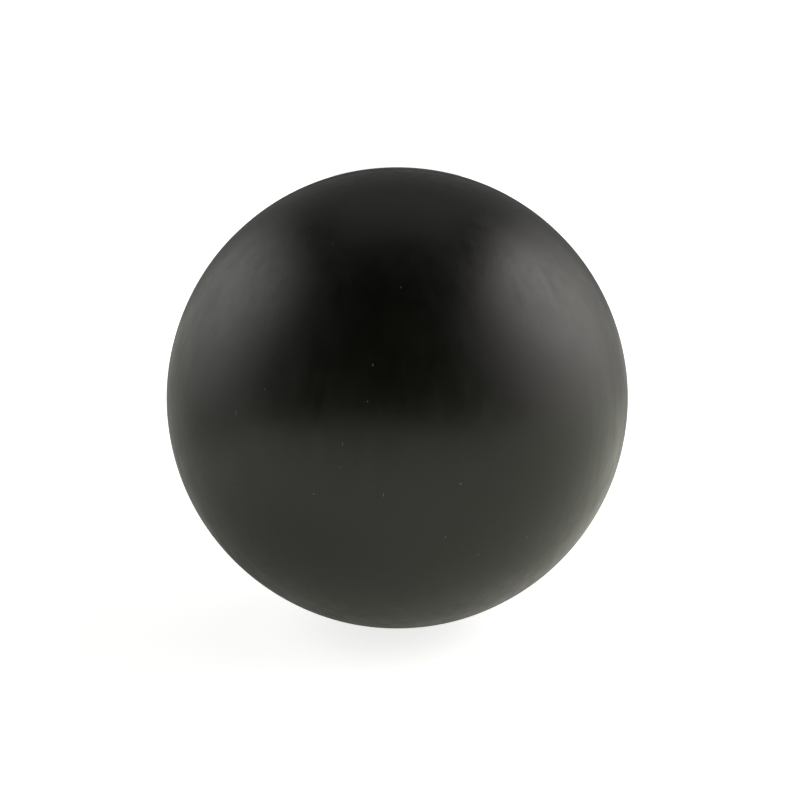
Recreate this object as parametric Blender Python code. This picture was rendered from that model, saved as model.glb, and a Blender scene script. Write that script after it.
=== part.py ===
"""Inflatable friction ball that a watchmaker presses on a screwed case back to unscrew it.

The ball is two moulded rubber half shells cemented together, with a needle valve at the rear:
a housing bonded through the wall, and a replaceable core plugged into it.
Every piece is turned about the valve axis. The ball's centre is the origin, the valve points
along +Y, and the ball would touch a bench at -Z. Units are metres.
"""

import math

import bmesh
import bpy

mm = 0.001

# Ball
BALL_RADIUS = 32.5 * mm
WALL = 4.0 * mm
BOND_GAP = 0.3 * mm  # room for the film of cement between bonded pieces

# Joint of the two half shells
LAP_LENGTH = 2.4 * mm
GROOVE_CHAMFER = 1.2 * mm  # bevel on each inner lip, which makes the groove for the cement
CEMENT_TIP_WIDTH = 0.4 * mm
CEMENT_CROWN = 0.35 * mm

# Valve core
CORE_GAP = 0.15 * mm  # clearance of the core in its bore
CORE_SINK = 0.2 * mm  # the core's face below the housing's face
CORE_HEAD_RADIUS = 2.9 * mm
CORE_HEAD_THICKNESS = 0.9 * mm
CORE_TOP_RADIUS = 2.2 * mm
CORE_TIP_RADIUS = 1.7 * mm
CORE_TIP_FILLET = 0.5 * mm
CORE_OVERHANG = 1.0 * mm  # the tip beyond the housing's tail
FUNNEL_RADIUS = 1.6 * mm
FUNNEL_DEPTH = 2.0 * mm
PILOT_RADIUS = 0.8 * mm
PILOT_DEPTH = 9.0 * mm
SLIT_WIDTH = 0.3 * mm
SLIT_DEPTH = 1.2 * mm

# Valve housing
VALVE_RECESS = 1.2 * mm  # the housing's face below the ball's outer surface, on the axis
RIM_FILLET = 0.6 * mm
HEAD_WALL = 1.95 * mm  # rubber round the core's head, and so on down the housing
HEAD_THICKNESS = 1.6 * mm
HEAD_EDGE = 0.4 * mm
NECK_WALL = 1.25 * mm
FLANGE_RADIUS = 9.5 * mm
FLANGE_ROOT = 1.6 * mm
FLANGE_EDGE = 0.7 * mm
TAIL_WALL = 1.45 * mm
TAIL_TAPER = 0.7 * mm
TAIL_LENGTH = 6.5 * mm
TAIL_FILLET = 0.8 * mm

# Land for the flange inside the rear half
LAND_MARGIN = 0.7 * mm

# Facets
SHELL_SEGMENTS = 60
VALVE_SEGMENTS = 40
OUTER_STEP = math.radians(5.5)
INNER_STEP = math.radians(9.0)
FILLET_STEPS = 3
CROWN_STEPS = 4
WELD = 1e-7
SHARP_ANGLE = math.radians(35)

# Radii that follow from the sizes above
INNER_RADIUS = BALL_RADIUS - WALL
LAP_RADIUS = BALL_RADIUS - WALL / 2
HEAD_RADIUS = CORE_HEAD_RADIUS + CORE_GAP + HEAD_WALL
NECK_RADIUS = CORE_TOP_RADIUS + CORE_GAP + NECK_WALL
TAIL_END_RADIUS = CORE_TIP_RADIUS + CORE_GAP + TAIL_WALL
TAIL_ROOT_RADIUS = TAIL_END_RADIUS + TAIL_TAPER
LAND_RADIUS = FLANGE_RADIUS + LAND_MARGIN

# Heights along the valve axis, measured from the ball's centre
LAND_HEIGHT = math.sqrt(INNER_RADIUS**2 - LAND_RADIUS**2)
FACE_HEIGHT = BALL_RADIUS - VALVE_RECESS
HEAD_UNDERSIDE = FACE_HEIGHT - HEAD_THICKNESS
FLANGE_TOP = LAND_HEIGHT - BOND_GAP
TAIL_ROOT = FLANGE_TOP - FLANGE_ROOT
TAIL_END = TAIL_ROOT - TAIL_LENGTH
CORE_FACE = FACE_HEIGHT - CORE_SINK
CORE_SHOULDER = CORE_FACE - CORE_HEAD_THICKNESS
CORE_TIP = TAIL_END - CORE_OVERHANG


def clear_scene():
    for obj in list(bpy.data.objects):
        bpy.data.objects.remove(obj)


def rubber(name, color, roughness):
    """A Principled BSDF for one kind of rubber."""
    material = bpy.data.materials.new(name)
    material.use_nodes = True
    shader = material.node_tree.nodes["Principled BSDF"]
    shader.inputs["Base Color"].default_value = (*color, 1.0)
    shader.inputs["Roughness"].default_value = roughness
    shader.inputs["Metallic"].default_value = 0.0
    return material


def arc(center, radius, start, end, steps):
    """Points of a circular arc as (distance from the axis, height). Angles run from the valve axis."""
    points = []
    for i in range(steps + 1):
        angle = start + (end - start) * i / steps
        points.append((center[0] + radius * math.sin(angle), center[1] + radius * math.cos(angle)))
    return points


def sphere_arc(radius, start, end, step):
    """An arc about the ball's centre, cut into steps no longer than step."""
    steps = max(1, math.ceil(abs(end - start) / step))
    return arc((0.0, 0.0), radius, start, end, steps)


def on_sphere(radius, height):
    """Distance from the axis of a sphere's surface at this height."""
    return math.sqrt(radius**2 - height**2)


def turned(name, profile, segments, material, parent, origin=0.0):
    """Spins a closed profile about the valve axis. The object's origin sits at height origin."""
    bm = bmesh.new()
    verts = [bm.verts.new((r, 0.0, z - origin)) for r, z in profile]
    edges = [bm.edges.new((verts[i - 1], verts[i])) for i in range(len(verts))]
    bmesh.ops.spin(
        bm, geom=verts + edges, cent=(0, 0, 0), axis=(0, 0, 1), angle=math.tau,
        steps=segments, use_merge=True, use_duplicate=False,
    )
    bmesh.ops.remove_doubles(bm, verts=bm.verts, dist=WELD)
    on_axis = [e for e in bm.edges if all(math.hypot(v.co.x, v.co.y) < WELD for v in e.verts)]
    bmesh.ops.delete(bm, geom=on_axis, context="EDGES")
    bmesh.ops.recalc_face_normals(bm, faces=bm.faces)
    mesh = bpy.data.meshes.new(name)
    bm.to_mesh(mesh)
    bm.free()
    mesh.shade_smooth()
    mesh.set_sharp_from_angle(angle=SHARP_ANGLE)
    mesh.materials.append(material)
    obj = bpy.data.objects.new(name, mesh)
    bpy.context.scene.collection.objects.link(obj)
    obj.parent = parent
    obj.location.z = origin
    return obj


def front_half_profile():
    """The plain half, with the spigot of the lap joint on its lip."""
    lip = -BOND_GAP / 2
    spigot_end = LAP_LENGTH - BOND_GAP / 2
    chamfer_end = spigot_end - GROOVE_CHAMFER
    seam_angle = math.acos(lip / BALL_RADIUS)
    inner_angle = math.acos(chamfer_end / INNER_RADIUS)
    groove_radius = on_sphere(INNER_RADIUS, spigot_end) + GROOVE_CHAMFER
    points = sphere_arc(BALL_RADIUS, math.pi, seam_angle, OUTER_STEP)
    points += [
        (LAP_RADIUS - BOND_GAP / 2, lip),
        (LAP_RADIUS - BOND_GAP / 2, spigot_end),
        (groove_radius, spigot_end),
    ]
    return points + sphere_arc(INNER_RADIUS, inner_angle, math.pi, INNER_STEP)


def rear_half_profile():
    """The half with the socket of the lap joint, and the stepped hole and land for the valve."""
    lip = BOND_GAP / 2
    socket_end = LAP_LENGTH + BOND_GAP / 2
    chamfer_end = socket_end + GROOVE_CHAMFER
    seam_angle = math.acos(lip / BALL_RADIUS)
    inner_angle = math.acos(chamfer_end / INNER_RADIUS)
    land_angle = math.acos(LAND_HEIGHT / INNER_RADIUS)
    groove_radius = on_sphere(INNER_RADIUS, socket_end) + GROOVE_CHAMFER
    counterbore = HEAD_RADIUS + BOND_GAP
    rim_radius = counterbore + RIM_FILLET
    rim_center = (rim_radius, on_sphere(BALL_RADIUS - RIM_FILLET, rim_radius))
    rim_angle = math.atan2(*rim_center)
    neck_hole = NECK_RADIUS + BOND_GAP
    points = sphere_arc(BALL_RADIUS, seam_angle, rim_angle, OUTER_STEP)
    points += arc(rim_center, RIM_FILLET, rim_angle, -math.pi / 2, FILLET_STEPS)[1:]
    points += [
        (counterbore, HEAD_UNDERSIDE - BOND_GAP),
        (neck_hole, HEAD_UNDERSIDE - BOND_GAP),
        (neck_hole, LAND_HEIGHT),
    ]
    points += sphere_arc(INNER_RADIUS, land_angle, inner_angle, INNER_STEP)
    points += [
        (groove_radius, socket_end),
        (LAP_RADIUS + BOND_GAP / 2, socket_end),
        (LAP_RADIUS + BOND_GAP / 2, lip),
    ]
    return points


def cement_profile():
    """The bead of cement in the groove between the inner lips, crowned where it was squeezed out."""
    slope_gap = BOND_GAP * math.sqrt(2)  # a gap of BOND_GAP square to a bevel of 45 degrees
    groove_floor = on_sphere(INNER_RADIUS, LAP_LENGTH) + GROOVE_CHAMFER + BOND_GAP / 2
    tip = groove_floor - slope_gap - CEMENT_TIP_WIDTH / 2
    half_width = GROOVE_CHAMFER + BOND_GAP / 2 - slope_gap
    base = tip - (half_width - CEMENT_TIP_WIDTH / 2)
    points = [
        (tip, LAP_LENGTH + CEMENT_TIP_WIDTH / 2),
        (tip, LAP_LENGTH - CEMENT_TIP_WIDTH / 2),
    ]
    for i in range(CROWN_STEPS + 1):
        across = -1 + 2 * i / CROWN_STEPS
        points.append((base - CEMENT_CROWN * (1 - across**2), LAP_LENGTH + across * half_width))
    return points


def core_radius(height):
    """The core's barrel tapers evenly from its shoulder to its tip."""
    share = (CORE_SHOULDER - height) / (CORE_SHOULDER - CORE_TIP)
    return CORE_TOP_RADIUS + (CORE_TIP_RADIUS - CORE_TOP_RADIUS) * share


def housing_profile():
    """Head, neck, base flange and tail of the housing, with the tapered bore for the core."""
    seat = CORE_SHOULDER - CORE_GAP
    seat_radius = CORE_HEAD_RADIUS + CORE_GAP
    edge_center = (HEAD_RADIUS - HEAD_EDGE, FACE_HEIGHT - HEAD_EDGE)
    tail_center = (TAIL_END_RADIUS - TAIL_FILLET, TAIL_END + TAIL_FILLET)
    points = [(seat_radius, FACE_HEIGHT)]
    points += arc(edge_center, HEAD_EDGE, 0.0, math.pi / 2, FILLET_STEPS)
    points += [
        (HEAD_RADIUS, HEAD_UNDERSIDE),
        (NECK_RADIUS, HEAD_UNDERSIDE),
        (NECK_RADIUS, FLANGE_TOP),
        (FLANGE_RADIUS, FLANGE_TOP),
        (FLANGE_RADIUS, FLANGE_TOP - FLANGE_EDGE),
        (TAIL_ROOT_RADIUS, TAIL_ROOT),
    ]
    points += arc(tail_center, TAIL_FILLET, math.pi / 2, math.pi, FILLET_STEPS)
    points += [
        (core_radius(TAIL_END) + CORE_GAP, TAIL_END),
        (core_radius(seat) + CORE_GAP, seat),
        (seat_radius, seat),
    ]
    return points


def core_profile():
    """The core's head and tapered barrel, with the funnel and blind pilot that guide the needle."""
    tip_center = (CORE_TIP_RADIUS - CORE_TIP_FILLET, CORE_TIP + CORE_TIP_FILLET)
    pilot_end = CORE_FACE - PILOT_DEPTH
    points = [
        (FUNNEL_RADIUS, CORE_FACE),
        (CORE_HEAD_RADIUS, CORE_FACE),
        (CORE_HEAD_RADIUS, CORE_SHOULDER),
        (CORE_TOP_RADIUS, CORE_SHOULDER),
    ]
    points += arc(tip_center, CORE_TIP_FILLET, math.pi / 2, math.pi, FILLET_STEPS)
    points += [
        (0.0, CORE_TIP),
        (0.0, pilot_end - PILOT_RADIUS),
        (PILOT_RADIUS, pilot_end),
        (PILOT_RADIUS, CORE_FACE - FUNNEL_DEPTH),
    ]
    return points


def cut_slit(core, parent):
    """The self-sealing slit, open only at the core's tip."""
    bm = bmesh.new()
    bmesh.ops.create_cube(bm, size=1.0)
    size = (SLIT_WIDTH, 4 * CORE_TIP_RADIUS, 2 * SLIT_DEPTH)
    bmesh.ops.scale(bm, vec=size, verts=bm.verts)
    mesh = bpy.data.meshes.new("slit_cutter")
    bm.to_mesh(mesh)
    bm.free()
    cutter = bpy.data.objects.new("slit_cutter", mesh)
    bpy.context.scene.collection.objects.link(cutter)
    cutter.parent = parent
    cutter.location.z = CORE_TIP
    cutter.hide_render = True
    cutter.display_type = "WIRE"
    cut = core.modifiers.new("slit", "BOOLEAN")
    cut.operation = "DIFFERENCE"
    cut.solver = "EXACT"
    cut.object = cutter


def build_ball():
    clear_scene()
    shell_rubber = rubber("black_rubber", (0.005, 0.005, 0.004), 0.4)
    housing_rubber = rubber("valve_rubber", (0.018, 0.018, 0.018), 0.5)
    core_rubber = rubber("core_rubber", (0.045, 0.043, 0.04), 0.55)
    cement = rubber("rubber_cement", (0.05, 0.035, 0.02), 0.35)

    # The pieces are drawn along their own +Z, and this empty turns it to the ball's +Y.
    valve_axis = bpy.data.objects.new("valve_axis", None)
    bpy.context.scene.collection.objects.link(valve_axis)
    valve_axis.rotation_euler.x = -math.pi / 2

    turned("front_half_shell", front_half_profile(), SHELL_SEGMENTS, shell_rubber, valve_axis)
    turned("rear_half_shell", rear_half_profile(), SHELL_SEGMENTS, shell_rubber, valve_axis)
    turned("seam_cement", cement_profile(), SHELL_SEGMENTS, cement, valve_axis, LAP_LENGTH)
    turned("valve_housing", housing_profile(), VALVE_SEGMENTS, housing_rubber, valve_axis, FACE_HEIGHT)
    core = turned("valve_core", core_profile(), VALVE_SEGMENTS, core_rubber, valve_axis, CORE_SHOULDER)
    cut_slit(core, valve_axis)


build_ball()
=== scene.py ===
import math

import bpy
import numpy as np
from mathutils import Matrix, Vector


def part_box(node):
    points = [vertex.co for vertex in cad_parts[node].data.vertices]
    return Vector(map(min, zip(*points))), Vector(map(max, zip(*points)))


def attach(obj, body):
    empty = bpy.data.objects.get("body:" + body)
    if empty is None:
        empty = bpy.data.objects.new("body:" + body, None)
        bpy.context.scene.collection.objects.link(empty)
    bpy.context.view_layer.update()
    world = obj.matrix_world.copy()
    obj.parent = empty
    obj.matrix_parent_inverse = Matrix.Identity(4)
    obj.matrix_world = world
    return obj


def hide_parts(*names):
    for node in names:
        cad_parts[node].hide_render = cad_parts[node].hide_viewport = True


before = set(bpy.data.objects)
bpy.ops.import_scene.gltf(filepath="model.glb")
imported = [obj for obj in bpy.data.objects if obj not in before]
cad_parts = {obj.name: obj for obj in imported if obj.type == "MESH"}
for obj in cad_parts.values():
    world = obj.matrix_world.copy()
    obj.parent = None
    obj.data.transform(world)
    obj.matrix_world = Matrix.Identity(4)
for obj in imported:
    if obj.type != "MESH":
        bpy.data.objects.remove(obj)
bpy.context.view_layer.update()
scene = bpy.context.scene
mm = 0.001
print("frame loaded")

# the ball's centre is the origin and the valve points along +Y; h below is the height along +Y
frontLow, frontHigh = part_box("front_half_shell")
housingLow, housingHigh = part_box("valve_housing")
coreLow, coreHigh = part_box("valve_core")
cementLow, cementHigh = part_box("seam_cement")
ballRadius = (frontHigh.x - frontLow.x) / 2
floorHeight = -ballRadius

outlineLook = {
    "steps": 6,  # facets in a rounded corner
    "support": 0.12 * mm,  # extra point beside a corner, which keeps the flat next to it flat
    "mostOfSide": 0.45,  # share of a side that one corner may use
    "mostOfRest": 0.3,  # share of what is left of the side that the extra point may use
}


# Rounded outline: each corner (r, h, fillet) is cut back along both its sides by
# fillet / tan(half the corner's angle), and a circle's arc joins the two ends.
# The loop runs over the few corners of the outline. Each arc is one array.
def roundedOutline(corners, closed=False):
    look = outlineLook
    corners = np.array(corners, float)
    places = corners[:, :2]
    before = np.roll(places, 1, axis=0)
    after = np.roll(places, -1, axis=0)
    share = np.linspace(0, 1, look["steps"] + 1)[:, None]
    made = []
    for i, (place, fillet) in enumerate(zip(places, corners[:, 2])):
        atEnd = not closed and i in (0, len(places) - 1)
        if fillet <= 0 or atEnd:
            made.append(place[None])
            continue
        toBefore, toAfter = before[i] - place, after[i] - place
        sideBefore, sideAfter = np.linalg.norm(toBefore), np.linalg.norm(toAfter)
        toBefore, toAfter = toBefore / sideBefore, toAfter / sideAfter
        half = math.acos(np.clip(toBefore @ toAfter, -1, 1)) / 2
        most = look["mostOfSide"] * min(sideBefore, sideAfter)
        back = min(fillet / math.tan(half), most)
        middle = (toBefore + toAfter) / np.linalg.norm(toBefore + toAfter)
        centre = place + middle * back / math.cos(half)
        start, end = place + toBefore * back - centre, place + toAfter * back - centre
        sweep = math.pi - 2 * half
        arc = (start * np.sin((1 - share) * sweep) + end * np.sin(share * sweep)) / math.sin(sweep)
        roomBefore = min(look["support"], look["mostOfRest"] * (sideBefore - back))
        roomAfter = min(look["support"], look["mostOfRest"] * (sideAfter - back))
        made.append((centre + start + toBefore * roomBefore)[None])
        made.append(centre + arc)
        made.append((centre + end + toAfter * roomAfter)[None])
    return np.concatenate(made)


# The same outline with its long stretches divided, so that no step is longer than longest:
# n new points at the shares 0, 1/n, 2/n ... of each stretch, where n = length / longest, rounded up.
def divided(outline, longest):
    steps = np.diff(outline, axis=0)
    counts = np.ceil(np.linalg.norm(steps, axis=1) / longest).astype(int).clip(1)
    first = np.repeat(np.arange(len(counts)), counts)
    place = np.arange(len(first)) - np.repeat(np.cumsum(counts) - counts, counts)
    share = (place / counts[first])[:, None]
    return np.concatenate([outline[first] + share * steps[first], outline[-1:]])


# Arc about the ball's centre: (r, h) = (R sin t, R cos t), where t runs from the valve axis.
def sphereArc(radius, angles):
    return np.stack([radius * np.sin(angles), radius * np.cos(angles)], axis=1)


# Turned surface: outline point (r, h) goes round the valve axis to (r cos a, h, r sin a).
# A closed outline makes a ring. An open one starts and ends on the axis, in one point each.
# shape, if given, moves the whole grid of points before the mesh is made.
def turnedPiece(name, outline, segments, closed, shape=None):
    angle = np.linspace(0, 2 * math.pi, segments, endpoint=False)
    radius, height = outline[:, :1], outline[:, 1:]
    grid = np.stack([radius * np.cos(angle), height + 0 * angle, radius * np.sin(angle)], axis=-1)
    if shape is not None:
        grid = shape(grid)
    rings = len(outline)
    here = np.arange(segments)
    there = (here + 1) % segments
    if closed:
        points = grid.reshape(-1, 3)
        first = np.arange(rings)
        second = (first + 1) % rings
        caps = np.empty((0, 3), int)
    else:
        inner = grid[1:-1].reshape(-1, 3)
        points = np.concatenate([inner, grid[0].mean(0)[None], grid[-1].mean(0)[None]])
        first = np.arange(rings - 3)
        second = first + 1
        start, end, last = len(inner), len(inner) + 1, (rings - 3) * segments
        caps = np.concatenate([
            np.stack([0 * here + start, there, here], axis=1),
            np.stack([0 * here + end, last + here, last + there], axis=1),
        ])
    a, b = first[:, None] * segments, second[:, None] * segments
    quads = np.stack([a + here, a + there, b + there, b + here], axis=-1).reshape(-1, 4)
    if signedVolume(points, quads, caps) < 0:
        quads, caps = quads[:, ::-1], caps[:, ::-1]
    return meshPiece(name, points, quads, caps)


# Six times the volume inside a closed surface: the sum of p0 . (p1 x p2) over its triangles.
# It is below zero when the faces point inwards.
def signedVolume(points, quads, triangles):
    every = np.concatenate([quads[:, [0, 1, 2]], quads[:, [0, 2, 3]], triangles])
    p = points[every]
    return np.einsum("ij,ij->i", p[:, 0], np.cross(p[:, 1], p[:, 2])).sum()


# Mesh from arrays: the corners of all faces in one row, where face n starts at the sum of the
# sizes of the faces before it. Edges that bend by more than sharpAngle are shaded sharp.
def meshPiece(name, points, quads, triangles, sharpAngle=32):
    mesh = bpy.data.meshes.new(name)
    mesh.vertices.add(len(points))
    mesh.vertices.foreach_set("co", points.astype(np.float32).ravel())
    corners = np.concatenate([quads.ravel(), triangles.ravel()]).astype(np.int32)
    sizes = np.concatenate([np.full(len(quads), 4), np.full(len(triangles), 3)])
    starts = (np.cumsum(sizes) - sizes).astype(np.int32)
    mesh.loops.add(len(corners))
    mesh.loops.foreach_set("vertex_index", corners)
    mesh.polygons.add(len(sizes))
    mesh.polygons.foreach_set("loop_start", starts)
    mesh.polygons.foreach_set("use_smooth", np.ones(len(sizes), bool))
    mesh.update(calc_edges=True)
    mesh.validate()
    mesh.set_sharp_from_angle(angle=math.radians(sharpAngle))
    piece = bpy.data.objects.new(name, mesh)
    scene.collection.objects.link(piece)
    return piece


# Smooth step from 0 to 1 as x goes from low to high: 3s^2 - 2s^3.
def smoothStep(x, low, high):
    s = np.clip((x - low) / (high - low), 0, 1)
    return s * s * (3 - 2 * s)


shellLook = {
    "segments": 256,
    "skinSteps": 72,
    "insideSteps": 36,
    "wall": 4.0 * mm,
    "lapRadius": 30.5 * mm,  # middle of the lap joint between the halves
    "lapLength": 2.4 * mm,
    "lapGap": 0.15 * mm,
    "lipGap": 0.02 * mm,  # half the hairline between the lips on the outside
    "lipRound": 0.09 * mm,
    "cornerRound": 0.1 * mm,
    "grooveChamfer": 1.2 * mm,
    "waveHeight": 0.012 * mm,  # slow unevenness of the moulded skin
    "waveLengths": (9 * mm, 30 * mm),
    "waveCount": 14,
    "waveSeed": 5,
    "seamDip": 0.02 * mm,  # the buffed band along the seam lies this far below the sphere
    "seamDipWidth": 1.6 * mm,
    "collarHeight": 0.05 * mm,  # low moulded collar round the valve hole
    "collarRadius": 8.0 * mm,
    "collarWidth": 0.55 * mm,
    "skinDepth": (0.5 * mm, 0.05 * mm),  # below this depth the wall keeps its plain shape
    "valveHole": 5.3 * mm,
    "holeRound": 0.95 * mm,
    "holeMargin": 1.9 * mm,
    "headUnderside": 29.7 * mm,
    "neckHole": 3.9 * mm,
    "landRadius": 10.2 * mm,
    "bondGap": 0.3 * mm,
}
innerRadius = ballRadius - shellLook["wall"]


# Slow waves: sin(k . p + phase), added over plane waves that run in any direction, and divided
# by the square root of their number.
def skinWaves(points):
    look = shellLook
    draw = np.random.default_rng(look["waveSeed"])
    direction = draw.normal(size=(look["waveCount"], 3))
    direction /= np.linalg.norm(direction, axis=1)[:, None]
    length = draw.uniform(*look["waveLengths"], look["waveCount"])
    phase = draw.uniform(0, 2 * math.pi, look["waveCount"])
    waves = np.sin(points @ (direction * (2 * math.pi / length)[:, None]).T + phase)
    return waves.sum(axis=-1) / math.sqrt(look["waveCount"])


# Moves the outer skin along its outward direction by: the slow waves, minus a bell curve of the
# height (the dip at the seam), plus a bell curve of the distance from the axis (the collar).
# The share moved is a smooth step of the distance from the centre, so the inside stays as it is.
def mouldedSkin(grid):
    look = shellLook
    away = np.linalg.norm(grid, axis=-1)
    outward = grid / away[..., None]
    deep, shallow = look["skinDepth"]
    onSkin = smoothStep(away, ballRadius - deep, ballRadius - shallow)
    height = grid[..., 1]
    fromAxis = np.hypot(grid[..., 0], grid[..., 2])
    collar = np.exp(-((fromAxis - look["collarRadius"]) / look["collarWidth"]) ** 2)
    lift = look["waveHeight"] * skinWaves(grid)
    lift = lift - look["seamDip"] * np.exp(-(height / look["seamDipWidth"]) ** 2)
    lift = lift + look["collarHeight"] * collar * (height > 0)
    return grid + outward * (lift * onSkin)[..., None]


# Angles of the skin's rings from start to end: start + (end - start) * sin(s * 90 degrees), so
# that more of them lie near the end, which is the seam.
def skinAngles(start, end):
    share = np.linspace(0, 1, shellLook["skinSteps"] + 1)
    return start + (end - start) * np.sin(share * math.pi / 2)


# Lap joint's outline from the outer lip to the inner lip. side is -1 for the front half, whose
# spigot is narrowed by the gaps, and +1 for the rear half, whose socket is widened by them.
# Returns the corners after the skin's last point, and the angles where skin and inside meet them.
def lapJoint(side):
    look = shellLook
    lip = side * look["lipGap"]
    lap = look["lapRadius"] + side * look["lapGap"]
    end = look["lapLength"] + side * look["lapGap"]
    chamferEnd = end + side * look["grooveChamfer"]
    groove = math.sqrt(innerRadius**2 - end**2) + look["grooveChamfer"]
    corners = [
        (math.sqrt(ballRadius**2 - lip**2), lip, look["lipRound"]),
        (lap, lip, look["cornerRound"]),
        (lap, end, look["cornerRound"]),
        (groove, end, look["cornerRound"]),
        (math.sqrt(innerRadius**2 - chamferEnd**2), chamferEnd, 0),
    ]
    seamAngle = math.acos((lip + side * look["lipRound"]) / ballRadius)
    return corners, seamAngle, math.acos(chamferEnd / innerRadius)


# Front half: the skin's arc from the front pole to the seam, the spigot of the lap joint, and the
# inside's arc back to the axis, all turned about the valve axis.
def buildFrontShell():
    look = shellLook
    corners, seamAngle, insideAngle = lapJoint(-1)
    skin = sphereArc(ballRadius, skinAngles(math.pi, seamAngle))
    joint = roundedOutline([(*skin[-1], 0), *corners])
    inside = sphereArc(innerRadius, np.linspace(insideAngle, math.pi, look["insideSteps"] + 1))
    outline = np.concatenate([skin[:-1], joint[:-1], inside])
    outline[[0, -1], 0] = 0
    return turnedPiece("front_shell_skin", outline, look["segments"], False, mouldedSkin)


# Rear half: the skin's arc from the valve hole to the seam, the socket of the lap joint, the
# inside's arc to the valve's land, and the stepped hole, turned as one closed ring.
def buildRearShell():
    look = shellLook
    corners, seamAngle, insideAngle = lapJoint(1)
    step = look["headUnderside"] - look["bondGap"]
    holeAngle = math.asin((look["valveHole"] + look["holeMargin"]) / ballRadius)
    landAngle = math.asin(look["landRadius"] / innerRadius)
    skin = sphereArc(ballRadius, skinAngles(holeAngle, seamAngle))
    joint = roundedOutline([(*skin[-1], 0), *corners])
    inside = sphereArc(innerRadius, np.linspace(insideAngle, landAngle, look["insideSteps"] + 1))
    hole = roundedOutline([
        (*inside[-1], 0),
        (look["neckHole"], inside[-1, 1], look["cornerRound"]),
        (look["neckHole"], step, look["cornerRound"]),
        (look["valveHole"], step, look["cornerRound"]),
        (look["valveHole"], math.sqrt(ballRadius**2 - look["valveHole"] ** 2), look["holeRound"]),
        (*skin[0], 0),
    ])
    outline = np.concatenate([skin, joint[1:], inside[1:-1], hole[:-1]])
    return turnedPiece("rear_shell_skin", outline, look["segments"], True, mouldedSkin)


cementLook = {
    "segments": 192,
    "steps": 24,
    "depth": 1.35 * mm,  # from the narrow tip in the groove to the crown inside
    "tipInset": 0.05 * mm,
    "tipWidth": 0.2 * mm,
    "squareness": 2.4,  # 2 gives an ellipse, and more gives fuller corners
    "ripple": 0.05 * mm,  # how unevenly the bead was squeezed out
    "rippleCount": 12,
    "rippleTurns": (3, 40),
    "rippleSeed": 11,
}


# Wedge-shaped bead. Its section is the superellipse |x|^n + |y|^n = 1, narrowed evenly towards the
# groove, and round the seam its inner side swells by the mean of sin(turns * angle + phase).
def buildCement():
    look = cementLook
    middle = (cementLow.y + cementHigh.y) / 2
    halfWidth = (cementHigh.y - cementLow.y) / 2 - look["ripple"]
    outside = cementHigh.x - look["tipInset"]
    t = np.linspace(0, 2 * math.pi, look["steps"], endpoint=False)
    power = 2 / look["squareness"]
    across = np.sign(np.sin(t)) * np.abs(np.sin(t)) ** power
    outward = np.sign(np.cos(t)) * np.abs(np.cos(t)) ** power
    narrow = look["tipWidth"] / halfWidth
    taper = narrow + (1 - narrow) * (1 - outward) / 2
    radius = outside + (outward - 1) * look["depth"] / 2
    outline = np.stack([radius, middle + across * halfWidth * taper], axis=1)
    draw = np.random.default_rng(look["rippleSeed"])
    turns = draw.integers(*look["rippleTurns"], look["rippleCount"])
    phases = draw.uniform(0, 2 * math.pi, look["rippleCount"])

    def rippled(grid):
        angle = np.arctan2(grid[..., 2], grid[..., 0])
        fromAxis = np.hypot(grid[..., 0], grid[..., 2])
        swell = 2 * np.sin(angle[..., None] * turns + phases).mean(-1)
        share = smoothStep(outside - fromAxis, 0, look["depth"])
        factor = 1 - look["ripple"] * swell * share / fromAxis
        return grid * np.stack([factor, np.ones_like(factor), factor], axis=-1)

    return turnedPiece("seam_cement_bead", outline, look["segments"], True, rippled)


housingLook = {
    "segments": 160,
    "headRadius": 5.0 * mm,
    "headThickness": 1.6 * mm,
    "headRound": 0.4 * mm,
    "neckRadius": 3.6 * mm,
    "flangeHeight": 26.31 * mm,
    "flangeRoot": 1.6 * mm,
    "flangeEdge": 0.7 * mm,
    "flangeRound": 0.3 * mm,
    "tailRoot": 4.0 * mm,
    "tailRootRound": 0.5 * mm,
    "tailEnd": 3.3 * mm,
    "tailRound": 0.8 * mm,
    "seatRadius": 3.05 * mm,
    "seatDepth": 1.25 * mm,
    "boreTop": 2.35 * mm,
    "boreEnd": 1.87 * mm,
    "ringRadius": 4.15 * mm,  # shallow moulded groove on the face, round the needle's seat
    "ringWidth": 0.32 * mm,
    "ringDepth": 0.12 * mm,
    "ringRound": 0.05 * mm,
    "cornerRound": 0.12 * mm,
}


# Housing: head, neck, base flange and tapered tail, with the stepped bore for the core. The
# corners below are joined by straight lines, rounded, and turned about the valve axis.
def buildHousing():
    look = housingLook
    face, tail = housingHigh.y, housingLow.y
    underside = face - look["headThickness"]
    flangeTop = look["flangeHeight"]
    flangeRadius = (housingHigh.x - housingLow.x) / 2
    seat = face - look["seatDepth"]
    ringHalf = look["ringWidth"] / 2
    small = look["cornerRound"]
    outline = roundedOutline([
        (look["seatRadius"], face, small),
        (look["ringRadius"] - ringHalf, face, look["ringRound"]),
        (look["ringRadius"], face - look["ringDepth"], look["ringRound"]),
        (look["ringRadius"] + ringHalf, face, look["ringRound"]),
        (look["headRadius"], face, look["headRound"]),
        (look["headRadius"], underside, small),
        (look["neckRadius"], underside, small),
        (look["neckRadius"], flangeTop, small),
        (flangeRadius, flangeTop, small),
        (flangeRadius, flangeTop - look["flangeEdge"], look["flangeRound"]),
        (look["tailRoot"], flangeTop - look["flangeRoot"], look["tailRootRound"]),
        (look["tailEnd"], tail, look["tailRound"]),
        (look["boreEnd"], tail, small),
        (look["boreTop"], seat, small),
        (look["seatRadius"], seat, small),
    ], closed=True)
    return turnedPiece("valve_housing_moulding", outline, look["segments"], True)


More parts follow.
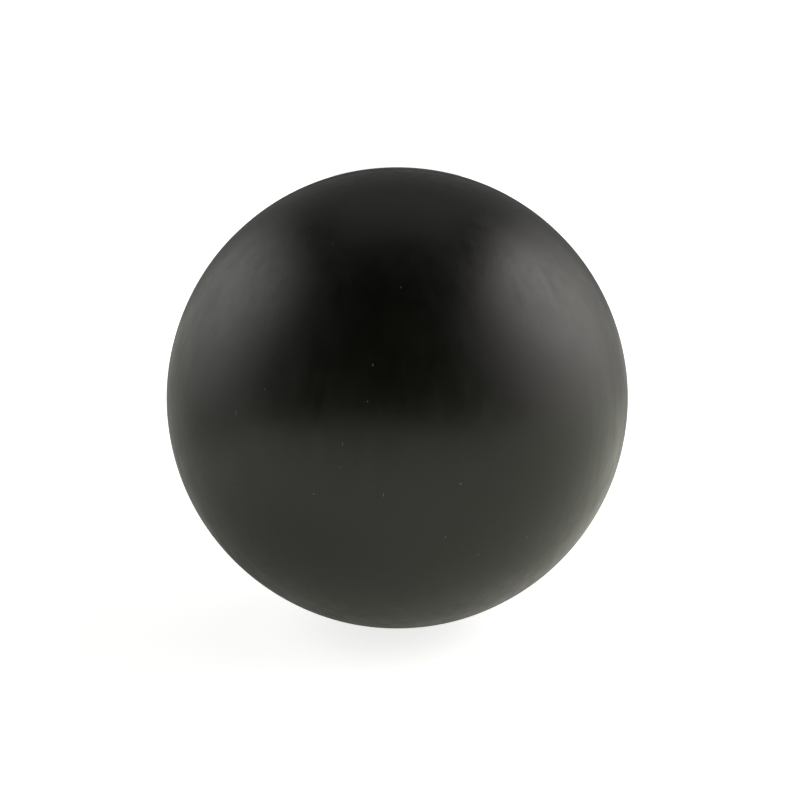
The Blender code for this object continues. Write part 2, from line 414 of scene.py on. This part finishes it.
coreLook = {
    "segments": 192,
    "headThickness": 0.9 * mm,
    "headRound": 0.2 * mm,
    "shoulderRound": 0.15 * mm,
    "barrelTop": 2.2 * mm,
    "barrelTip": 1.7 * mm,
    "tipRound": 0.5 * mm,
    "tipZone": 0.9 * mm,  # length of the tip that gets close rings
    "funnelRadius": 1.6 * mm,
    "funnelDepth": 2.0 * mm,
    "funnelRound": 0.35 * mm,
    "throatRound": 0.5 * mm,
    "pilotRadius": 0.8 * mm,
    "pilotDepth": 9.0 * mm,
    "pilotEndRound": 0.3 * mm,
    "barrelStep": 0.5 * mm,
    "tipStep": 0.05 * mm,
    "slitWidth": 0.26 * mm,
    "slitDepth": 1.1 * mm,
    "slitReach": 3.2 * mm,  # the barrel's length that makes room for the slit
}


# Slit at the tip: points near the middle plane x = 0 move up the barrel by
# depth * smooth step of |x| * (1 - distance from the tip / reach).
def slitTip(grid):
    look = coreLook
    fromTip = grid[..., 1] - coreLow.y
    half = look["slitWidth"] / 2
    inSlit = 1 - smoothStep(np.abs(grid[..., 0]), 0.5 * half, 1.5 * half)
    room = np.clip(1 - fromTip / look["slitReach"], 0, 1)
    moved = grid.copy()
    moved[..., 1] += look["slitDepth"] * inSlit * room
    return moved


# Core: the blind pilot and its funnel, the head, and the barrel, whose radius falls evenly from
# the shoulder to the tip. The outline's last stretch has close rings, for the slit to bend.
def buildCore():
    look = coreLook
    face, tip = coreHigh.y, coreLow.y
    headRadius = (coreHigh.x - coreLow.x) / 2
    shoulder = face - look["headThickness"]
    pilotEnd = face - look["pilotDepth"]
    zoneShare = look["tipZone"] / (shoulder - tip)
    zoneRadius = look["barrelTip"] + (look["barrelTop"] - look["barrelTip"]) * zoneShare
    zoneStart = (zoneRadius, tip + look["tipZone"], 0)
    upper = roundedOutline([
        (0, pilotEnd - look["pilotRadius"], 0),
        (look["pilotRadius"], pilotEnd, look["pilotEndRound"]),
        (look["pilotRadius"], face - look["funnelDepth"], look["throatRound"]),
        (look["funnelRadius"], face, look["funnelRound"]),
        (headRadius, face, look["headRound"]),
        (headRadius, shoulder, look["shoulderRound"]),
        (look["barrelTop"], shoulder, look["shoulderRound"]),
        zoneStart,
    ])
    lower = roundedOutline([zoneStart, (look["barrelTip"], tip, look["tipRound"]), (0, tip, 0)])
    outline = np.concatenate([divided(upper, look["barrelStep"])[:-1], divided(lower, look["tipStep"])])
    return turnedPiece("valve_core_plug", outline, look["segments"], False, slitTip)


# A material with a Principled shader on its output.
def newMaterial(name):
    material = bpy.data.materials.new(name)
    material.use_nodes = True
    tree = material.node_tree
    tree.nodes.clear()
    output = tree.nodes.new("ShaderNodeOutputMaterial")
    shader = tree.nodes.new("ShaderNodeBsdfPrincipled")
    tree.links.new(shader.outputs["BSDF"], output.inputs["Surface"])
    return material, tree, shader


# One node with its settings, and its sockets set or linked from a dictionary.
def addNode(tree, kind, sockets=None, **settings):
    made = tree.nodes.new("ShaderNode" + kind)
    for key, value in settings.items():
        setattr(made, key, value)
    for key, value in (sockets or {}).items():
        if isinstance(value, bpy.types.NodeSocket):
            tree.links.new(value, made.inputs[key])
        else:
            made.inputs[key].default_value = value
    return made


# The result of one operation on two numbers.
def maths(tree, operation, a, b=0.0, clamp=False):
    return addNode(tree, "Math", {0: a, 1: b}, operation=operation, use_clamp=clamp).outputs[0]


# The product of several numbers.
def product(tree, first, *others):
    for other in others:
        first = maths(tree, "MULTIPLY", first, other)
    return first


# The x, y and z of a point on the piece.
def placeOf(tree):
    return addNode(tree, "SeparateXYZ", {0: addNode(tree, "TexCoord").outputs["Object"]}).outputs


# The piece's own coordinates, turned and then counted in lumps: scale is lumps in a metre.
def lumps(tree, scale, turn=(0, 0, 0)):
    place = addNode(tree, "TexCoord").outputs["Object"]
    return addNode(tree, "Mapping", {"Vector": place, "Scale": scale, "Rotation": turn}).outputs[0]


# Noise from 0 to 1 on the piece's own coordinates.
def noiseOf(tree, scale, detail=3.0, rough=0.5, turn=(0, 0, 0)):
    sockets = {"Vector": lumps(tree, scale, turn), "Scale": 1.0, "Detail": detail, "Roughness": rough}
    return addNode(tree, "TexNoise", sockets).outputs[0]


# value taken from one range to another, straight or as a smooth step.
def ranged(tree, value, fromLow, fromHigh, toLow, toHigh, smooth=False):
    sockets = {0: value, 1: fromLow, 2: fromHigh, 3: toLow, 4: toHigh}
    kind = "SMOOTHSTEP" if smooth else "LINEAR"
    return addNode(tree, "MapRange", sockets, interpolation_type=kind).outputs[0]


# a * (1 - share) + b * share, for two colours.
def mixedColor(tree, share, a, b):
    made = addNode(tree, "Mix", {0: share}, data_type="RGBA")
    for key, value in ((6, a), (7, b)):
        if isinstance(value, bpy.types.NodeSocket):
            tree.links.new(value, made.inputs[key])
        else:
            made.inputs[key].default_value = (*value, 1)
    return made.outputs[2]


speckCore = 0.6  # share of a speck's size that is solid, before its edge fades


# Specks: 1 inside a small ball round some of the scattered points of a cell pattern, else 0.
# size is in cells, and keep is the share of the points that carry a speck.
def specksOf(tree, scale, size, keep, turn=(0, 0, 0)):
    cells = addNode(tree, "TexVoronoi", {"Vector": lumps(tree, scale, turn), "Scale": 1.0})
    near = ranged(tree, cells.outputs["Distance"], size * speckCore, size, 1.0, 0.0, smooth=True)
    pick = addNode(tree, "SeparateColor", {0: cells.outputs["Color"]}).outputs[0]
    return product(tree, near, maths(tree, "GREATER_THAN", pick, 1 - keep))


# Bumps of this height in metres on the shader's normal.
def bumped(tree, shader, height):
    bump = addNode(tree, "Bump", {"Strength": 1.0, "Distance": 1.0, "Height": height})
    tree.links.new(bump.outputs[0], shader.inputs["Normal"])


# pattern scales are lumps in a metre, along the piece's x, y and z
skinLook = {
    "deep": (0.0040, 0.0042, 0.0030),
    "worn": (0.0062, 0.0063, 0.0048),
    "roughness": 0.33,
    "specular": 0.36,
    "patches": (170, 170, 150),
    "patchRange": (0.25, 0.75),  # the noise's own values at which a patch is at its two ends
    "patchChange": 0.05,  # how far the roughness varies from patch to patch
    "wipes": (620, 620, 55),  # wipe marks down the ball
    "wipeRange": (0.3, 0.7),
    "wipeChange": 0.04,
    "grain": (2600, 2600, 2600),
    "grainHeight": 0.004 * mm,
    "pores": (900, 900, 900),
    "poreHeight": 0.012 * mm,
    "seamBand": (0.39 * mm, 1.3 * mm),  # the buffed band along the seam fades between these
    "seamChange": 0.07,
    "seamMarks": (260, 9000, 260),
    "seamMarkHeight": 0.006 * mm,
    "dust": (0.11, 0.105, 0.095),
    "dustRoughness": 0.5,
    "dustHeight": 0.02 * mm,
    "specks": {"scale": (185, 185, 185), "size": 0.022, "keep": 1.0},
    "fibres": {"scale": (1500, 1300, 300), "size": 0.13, "keep": 0.03, "turn": (0.5, 0.9, 0.3)},
    "lint": {"scale": (260, 1500, 1500), "size": 0.13, "keep": 0.025, "turn": (0.2, 0.4, 1.1)},
}


# Satin black rubber of the halves: patches and wipe marks change the roughness, and grain, pores,
# the buffed band's marks and specks of dust raise the surface by their heights, added up.
def satinBlackRubber():
    look = skinLook
    material, tree, shader = newMaterial("satinBlackRubber")
    patches = noiseOf(tree, look["patches"], detail=4, rough=0.6)
    wipes = noiseOf(tree, look["wipes"], rough=0.55, turn=(0.05, 0.12, 0))
    grain = noiseOf(tree, look["grain"], detail=4, rough=0.65)
    pores = noiseOf(tree, look["pores"], detail=2)
    marks = noiseOf(tree, look["seamMarks"], detail=2, rough=0.6)
    fromSeam = maths(tree, "ABSOLUTE", placeOf(tree)[1])
    band = ranged(tree, fromSeam, *look["seamBand"], 1.0, 0.0, smooth=True)
    fibres = maths(tree, "MAXIMUM", specksOf(tree, **look["fibres"]), specksOf(tree, **look["lint"]))
    dust = maths(tree, "MAXIMUM", specksOf(tree, **look["specks"]), fibres)

    worn = mixedColor(tree, patches, look["deep"], look["worn"])
    tree.links.new(mixedColor(tree, dust, worn, look["dust"]), shader.inputs["Base Color"])

    low, high = look["roughness"] - look["patchChange"], look["roughness"] + look["patchChange"]
    rough = ranged(tree, patches, *look["patchRange"], low, high)
    change = ranged(tree, wipes, *look["wipeRange"], -look["wipeChange"], look["wipeChange"])
    rough = maths(tree, "ADD", rough, change)
    rough = maths(tree, "ADD", rough, product(tree, band, look["seamChange"]))
    rough = maths(tree, "ADD", rough, product(tree, dust, look["dustRoughness"]), clamp=True)
    tree.links.new(rough, shader.inputs["Roughness"])

    height = maths(tree, "ADD", product(tree, grain, look["grainHeight"]),
                   product(tree, pores, look["poreHeight"]))
    height = maths(tree, "ADD", height, product(tree, band, marks, look["seamMarkHeight"]))
    height = maths(tree, "ADD", height, product(tree, dust, look["dustHeight"]))
    bumped(tree, shader, height)
    shader.inputs["Specular IOR Level"].default_value = look["specular"]
    return material


mouldedLook = {
    "patches": (500, 500, 500),
    "patchRange": (0.25, 0.75),
    "patchChange": 0.05,
    "grain": (5200, 5200, 5200),
    "powder": (1400, 1400, 1400),
    "powderRange": (0.56, 0.78),  # talc starts to show at the first value of the powder noise
    "powderColor": (0.16, 0.155, 0.145),
}
smallLook = {
    "valveRubber": {"deep": (0.010, 0.010, 0.010), "light": (0.020, 0.020, 0.019), "roughness": 0.50,
                    "specular": 0.40, "talc": 0.35, "grainHeight": 0.006 * mm},
    "coreRubber": {"deep": (0.030, 0.029, 0.027), "light": (0.050, 0.047, 0.043), "roughness": 0.52,
                   "specular": 0.40, "talc": 0.25, "grainHeight": 0.005 * mm},
    "driedCement": {"deep": (0.035, 0.024, 0.013), "light": (0.075, 0.052, 0.028), "roughness": 0.32,
                    "specular": 0.50, "talc": 0.05, "grainHeight": 0.010 * mm},
}


# Moulded rubber of the small pieces: two close colours mixed by patches, talc left in some places,
# which also adds its share to the roughness, and a fine grain.
def mouldedRubber(name):
    look, own = mouldedLook, smallLook[name]
    material, tree, shader = newMaterial(name)
    patches = noiseOf(tree, look["patches"], detail=4, rough=0.6)
    grain = noiseOf(tree, look["grain"], rough=0.6)
    powder = noiseOf(tree, look["powder"], detail=5, rough=0.7)
    talc = ranged(tree, powder, *look["powderRange"], 0.0, own["talc"])
    base = mixedColor(tree, patches, own["deep"], own["light"])
    tree.links.new(mixedColor(tree, talc, base, look["powderColor"]), shader.inputs["Base Color"])
    low, high = own["roughness"] - look["patchChange"], own["roughness"] + look["patchChange"]
    rough = ranged(tree, patches, *look["patchRange"], low, high)
    tree.links.new(maths(tree, "ADD", rough, talc, clamp=True), shader.inputs["Roughness"])
    bumped(tree, shader, product(tree, grain, own["grainHeight"]))
    shader.inputs["Specular IOR Level"].default_value = own["specular"]
    return material


# Gives a piece its material and the body it moves with, and hides the node that it stands for.
def dress(piece, material, body, nodeName):
    piece.data.materials.append(material)
    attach(piece, body)
    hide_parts(nodeName)


skinRubber = satinBlackRubber()
dress(buildFrontShell(), skinRubber, "ball", "front_half_shell")
print("front half made")
dress(buildRearShell(), skinRubber, "ball", "rear_half_shell")
print("rear half made")
dress(buildCement(), mouldedRubber("driedCement"), "ball", "seam_cement")
print("seam cement made")
dress(buildHousing(), mouldedRubber("valveRubber"), "ball", "valve_housing")
dress(buildCore(), mouldedRubber("coreRubber"), "valve_core", "valve_core")
print("valve made")

# The floor glows: "seen" is what the camera sees of it, with painted shade near the ball, and "light" is
# what falls on the ball.
# The light has a painted shadow of the ball and painted shade behind it, and facing turns its bright
# side.
floorLook = {
    "radius": 6.0,
    "segments": 96,
    "color": (0.75, 0.75, 0.74),
    "roughness": 0.9,
    "seenColor": (1.0, 1.0, 0.99),
    # painted shade: the floor that the camera sees is darker near the ball
    "seenRange": (0.10, 0.55),  # metres from the ball over which the seen brightness changes
    "seenPaintedShadeToBright": (0.80, 1.05),
    "lightColor": (0.97, 1.0, 0.82),
    # painted shade in the floor's light: dim behind the ball, bright on the side that facing turns
    "lightRange": (-0.09, 0.0),  # metres towards the bright side over which the light changes
    "lightPaintedShadeToBright": (0.05, 0.78),
    "facing": 25.0,  # degrees from the front towards the right
    # painted shadow of the ball in the floor's light: its middle, left of and behind the ball, and its
    # radius
    "paintedShadowMiddle": (-0.02, 0.02),
    "paintedShadowRadius": 0.09,
}


# Flat piece of staging with these corners.
def stageSheet(name, corners):
    mesh = bpy.data.meshes.new(name)
    mesh.from_pydata(corners, [], [list(range(len(corners)))])
    sheet = bpy.data.objects.new(name, mesh)
    scene.collection.objects.link(sheet)
    return sheet


# Floor: a disc at the ball's lowest point. Its light, with a painted shadow and painted shade behind the
# ball, is smooth step(distance from the painted shadow's middle) * smooth step(place along the bright
# side).
def buildFloor():
    look = floorLook
    angle = np.linspace(0, 2 * math.pi, look["segments"], endpoint=False)
    rim = np.stack([np.cos(angle), np.sin(angle), 0 * angle], axis=1) * look["radius"]
    rim[:, 2] = floorHeight
    floor = stageSheet("floor", rim.tolist())
    material, tree, shader = newMaterial("paleFloor")
    place = addNode(tree, "TexCoord").outputs["Object"]
    away = addNode(tree, "VectorMath", {0: place}, operation="LENGTH").outputs["Value"]
    # painted shade round the ball on the floor that the camera sees
    seen = ranged(tree, away, *look["seenRange"], *look["seenPaintedShadeToBright"], smooth=True)
    # painted shadow: the floor's light falls to nothing round a point beside the ball
    shadow = (*look["paintedShadowMiddle"], floorHeight)
    fromPaintedShadow = addNode(tree, "VectorMath", {0: place, 1: shadow}, operation="DISTANCE").outputs["Value"]
    outsidePaintedShadow = ranged(tree, fromPaintedShadow, 0.0, look["paintedShadowRadius"], 0.0, 1.0, smooth=True)
    # painted shade behind the ball, and the floor's full light ahead of it
    turn = math.radians(look["facing"])
    ahead = (math.sin(turn), -math.cos(turn), 0)
    along = addNode(tree, "VectorMath", {0: place, 1: ahead}, operation="DOT_PRODUCT").outputs["Value"]
    bright = ranged(tree, along, *look["lightRange"], *look["lightPaintedShadeToBright"], smooth=True)
    ray = addNode(tree, "LightPath").outputs["Is Camera Ray"]
    glow = addNode(tree, "Mix", {0: ray, 2: product(tree, outsidePaintedShadow, bright), 3: seen})
    tree.links.new(glow.outputs[0], shader.inputs["Emission Strength"])
    tint = mixedColor(tree, ray, look["lightColor"], look["seenColor"])
    tree.links.new(tint, shader.inputs["Emission Color"])
    shader.inputs["Base Color"].default_value = (*look["color"], 1)
    shader.inputs["Roughness"].default_value = look["roughness"]
    shader.inputs["Specular IOR Level"].default_value = 0.0
    floor.data.materials.append(material)


# Light tent: cloth walls that glow where a lamp stands behind them. across is the axis that a wall
# is square to, and at is its place on it. Ranges and places run along the wall's other two axes.
# mirrored fades the same way at both ends of the first axis.
tentSide, tentBack, tentTop = 0.40, 0.50, 0.667
acrossTent, alongTent, upTent = (-tentSide, tentSide), (-tentBack, tentBack), (floorHeight, tentTop)
tentLook = {
    "rightWall": {"across": 0, "at": tentSide, "range": (alongTent, upTent),
                  "color": (1.04, 1.0, 0.96), "even": 0.19, "bright": 2.9,
                  "lamp": (0.08, 0.28), "spread": (0.32, 0.38), "fade": ((-0.67, -0.08), (0.66, 0.51)),
                  "mirrored": False},
    "leftWall": {"across": 0, "at": -tentSide, "range": (alongTent, upTent),
                 "color": (1.0, 1.0, 0.955), "even": 0.04, "bright": 1.7,
                 "lamp": (0.07, 0.25), "spread": (0.54, 0.32), "fade": ((-0.32, 0.09), (0.80, 0.37)),
                 "mirrored": False},
    "backWall": {"across": 1, "at": tentBack, "range": (acrossTent, upTent),
                 "color": (1.0, 1.0, 0.95), "even": 0.21, "bright": 0.53,
                 "lamp": (0.0, 0.0), "spread": (9.0, 9.0), "fade": ((0.24, 0.31), (0.40, 0.26)),
                 "mirrored": True},
    "ceiling": {"across": 2, "at": tentTop, "range": (acrossTent, alongTent),
                "color": (0.96, 1.0, 0.90), "even": 0.01, "bright": 0.37,
                "lamp": (0.0, 0.0), "spread": (9.0, 9.0), "fade": ((0.32, 0.21), (-0.06, 0.13)),
                "mirrored": True},
}


# A wall's glow at (u, v), seen from inside only:
# even + bright * exp(-((u - lamp u) / spread u)^2 - ((v - lamp v) / spread v)^2) * fade(u) * fade(v).
def buildWall(name, look):
    across = look["across"]
    axes = [axis for axis in range(3) if axis != across]
    (u0, u1), (v0, v1) = look["range"]
    corners = np.zeros((4, 3))
    corners[:, across] = look["at"]
    corners[:, axes] = [(u0, v0), (u1, v0), (u1, v1), (u0, v1)]
    sheet = stageSheet(name, corners.tolist())
    if sheet.data.polygons[0].normal[across] * look["at"] > 0:
        sheet.data.flip_normals()
    sheet.visible_camera = False
    material, tree, shader = newMaterial(name)
    place = placeOf(tree)
    u, v = place[axes[0]], place[axes[1]]
    squares = []
    for value, lamp, spread in zip((u, v), look["lamp"], look["spread"]):
        away = product(tree, maths(tree, "SUBTRACT", value, lamp), 1 / spread)
        squares.append(product(tree, away, away))
    bell = maths(tree, "EXPONENT", product(tree, maths(tree, "ADD", *squares), -1.0))
    if look["mirrored"]:
        u = maths(tree, "ABSOLUTE", u)
    fades = [
        ranged(tree, value, *ends, 0.0, 1.0, smooth=True)
        for value, ends in zip((u, v), look["fade"])
    ]
    lamp = product(tree, bell, *fades, look["bright"])
    glow = maths(tree, "ADD", lamp, look["even"])
    inside = maths(tree, "SUBTRACT", 1.0, addNode(tree, "NewGeometry").outputs["Backfacing"])
    tree.links.new(product(tree, glow, inside), shader.inputs["Emission Strength"])
    shader.inputs["Emission Color"].default_value = (*look["color"], 1)
    shader.inputs["Base Color"].default_value = (0, 0, 0, 1)
    shader.inputs["Specular IOR Level"].default_value = 0.0
    sheet.data.materials.append(material)


lampLook = {
    "rightLamp": {"middle": (0.39, 0.08, 0.28), "width": 0.34, "bright": 0.6, "color": (1.0, 0.97, 0.93)},
    "leftLamp": {"middle": (-0.39, 0.10, 0.26), "width": 0.34, "bright": 0.3, "color": (1.0, 1.0, 0.96)},
}


# A round soft lamp in front of a side wall. A disc of brightness L sends out pi * L * its area.
def buildLamp(name, look):
    light = bpy.data.lights.new(name, "AREA")
    light.shape = "DISK"
    light.size = look["width"]
    light.energy = math.pi * look["bright"] * math.pi * (look["width"] / 2) ** 2
    light.color = look["color"]
    lamp = bpy.data.objects.new(name, light)
    lamp.location = look["middle"]
    lamp.rotation_euler = (math.pi / 2, 0, math.copysign(math.pi / 2, look["middle"][0]))
    lamp.visible_camera = False
    scene.collection.objects.link(lamp)


worldLook = {"seen": (1.0, 1.0, 1.0), "light": 0.01}


# World: white where the camera sees it beyond the floor, and hardly any light on the ball.
def buildWorld():
    world = bpy.data.worlds.new("studio")
    world.use_nodes = True
    tree = world.node_tree
    tree.nodes.clear()
    seen = addNode(tree, "Background", {"Color": (*worldLook["seen"], 1), "Strength": 1.0})
    light = addNode(tree, "Background", {"Color": (1, 1, 1, 1), "Strength": worldLook["light"]})
    ray = addNode(tree, "LightPath").outputs["Is Camera Ray"]
    mixed = addNode(tree, "MixShader", {0: ray, 1: light.outputs[0], 2: seen.outputs[0]})
    output = addNode(tree, "OutputWorld")
    tree.links.new(mixed.outputs[0], output.inputs["Surface"])
    scene.world = world


cameraLook = {
    "lens": 100,
    "elevation": 13.0,  # degrees above level
    "distance": 314.7 * mm,
    "shift": (0.0034, -0.0028),
    "clip": (0.01, 20),
}


# Camera: on a circle about the ball's centre, at (0, -d cos e, d sin e), looking at the centre.
def buildCamera():
    look = cameraLook
    tilt = math.radians(look["elevation"])
    data = bpy.data.cameras.new("studioCamera")
    data.lens = look["lens"]
    data.clip_start, data.clip_end = look["clip"]
    data.shift_x, data.shift_y = look["shift"]
    camera = bpy.data.objects.new("studioCamera", data)
    camera.location = (0, -look["distance"] * math.cos(tilt), look["distance"] * math.sin(tilt))
    camera.rotation_euler = (math.pi / 2 - tilt, 0, 0)
    scene.collection.objects.link(camera)
    scene.camera = camera


buildFloor()
for wallName, wallLook in tentLook.items():
    buildWall(wallName, wallLook)
for lampName, oneLamp in lampLook.items():
    buildLamp(lampName, oneLamp)
buildWorld()
buildCamera()
scene.view_settings.view_transform = "Standard"
print("studio made")
